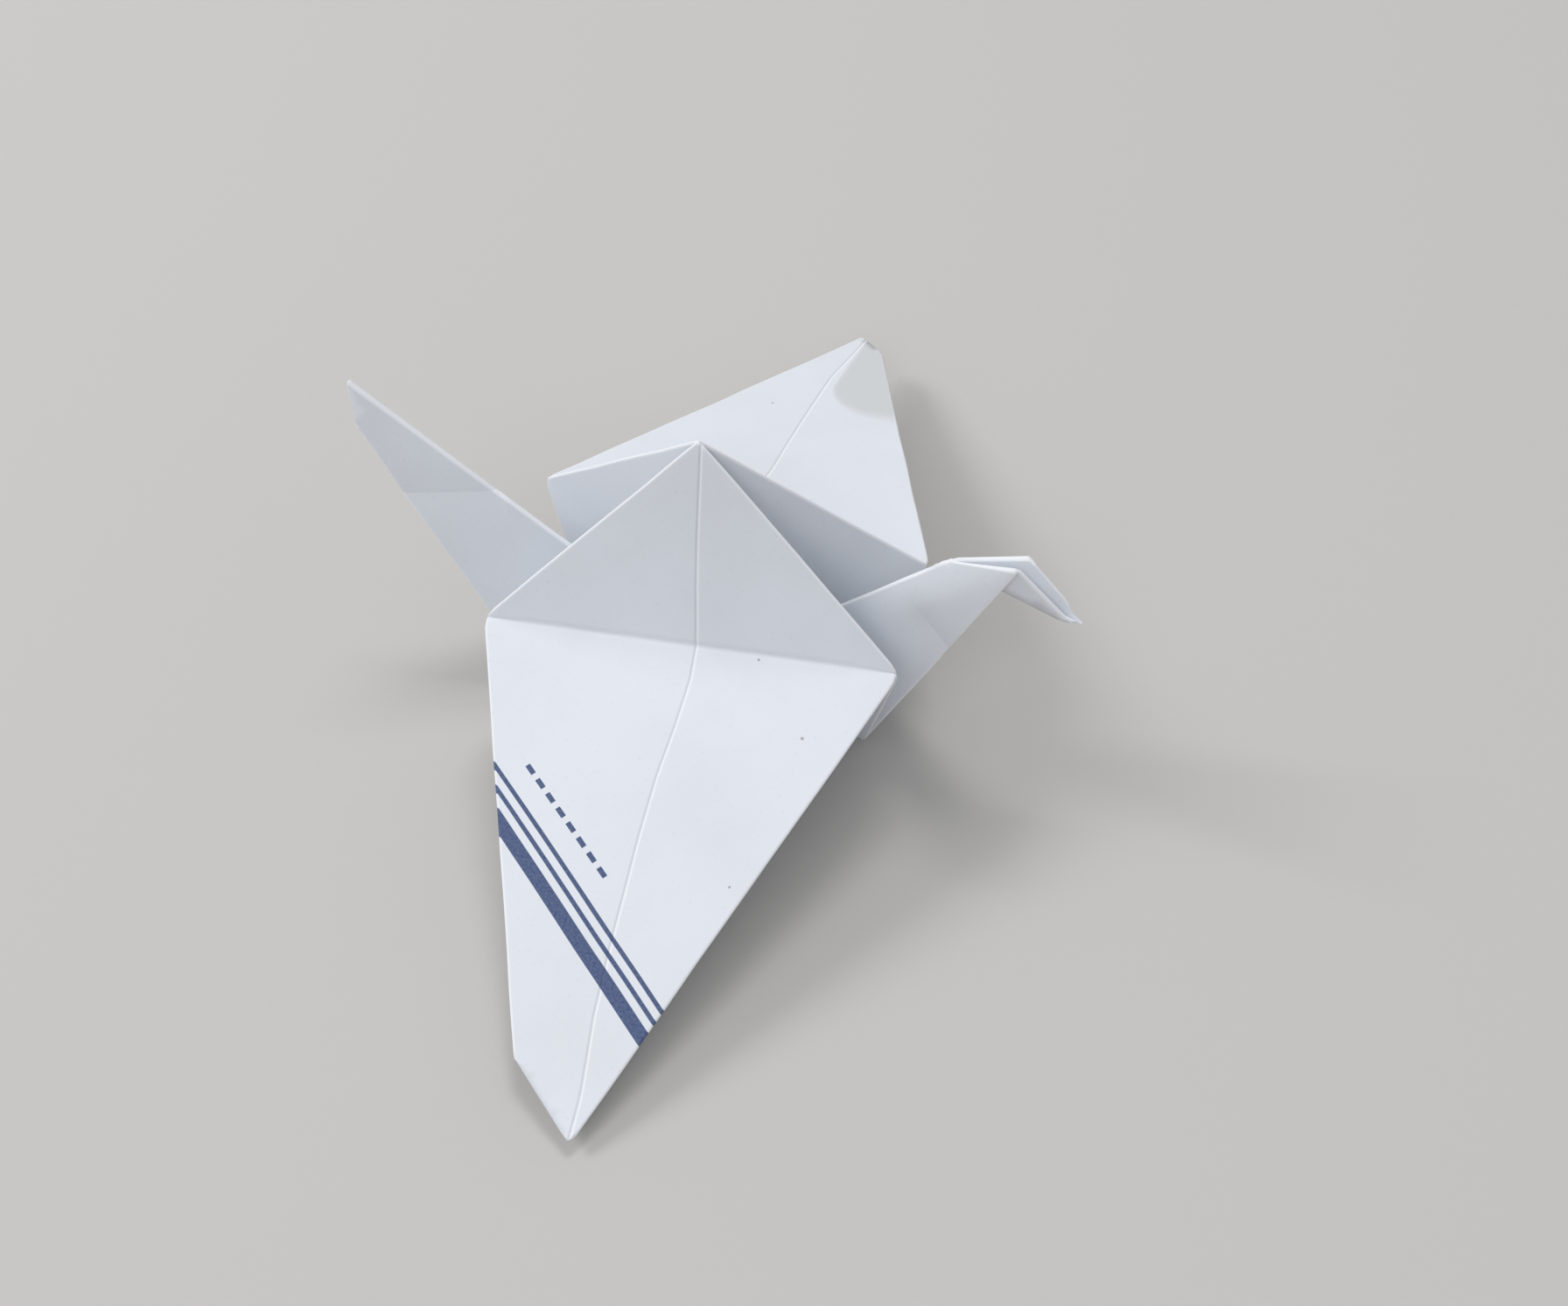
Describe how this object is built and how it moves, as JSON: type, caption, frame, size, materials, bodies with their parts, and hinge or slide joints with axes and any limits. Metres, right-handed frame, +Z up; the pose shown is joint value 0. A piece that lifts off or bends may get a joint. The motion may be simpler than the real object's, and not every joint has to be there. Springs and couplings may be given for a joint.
{
  "type": "origami crane",
  "caption": "Folded paper crane with spread wings, raised tail, and a neck and head turned by reverse folds.",
  "frame": {"origin": "middle of the footprint's bounding rectangle, on the surface the crane stands on", "axes": "+X towards the head, +Y across to the far wing, +Z up"},
  "size_m": [0.0814, 0.1226, 0.0382],
  "materials": {
    "paper": "matte white writing paper"
  },
  "bodies": {
    "root": {"folded_sheet": "paper"}
  },
  "joints": []
}
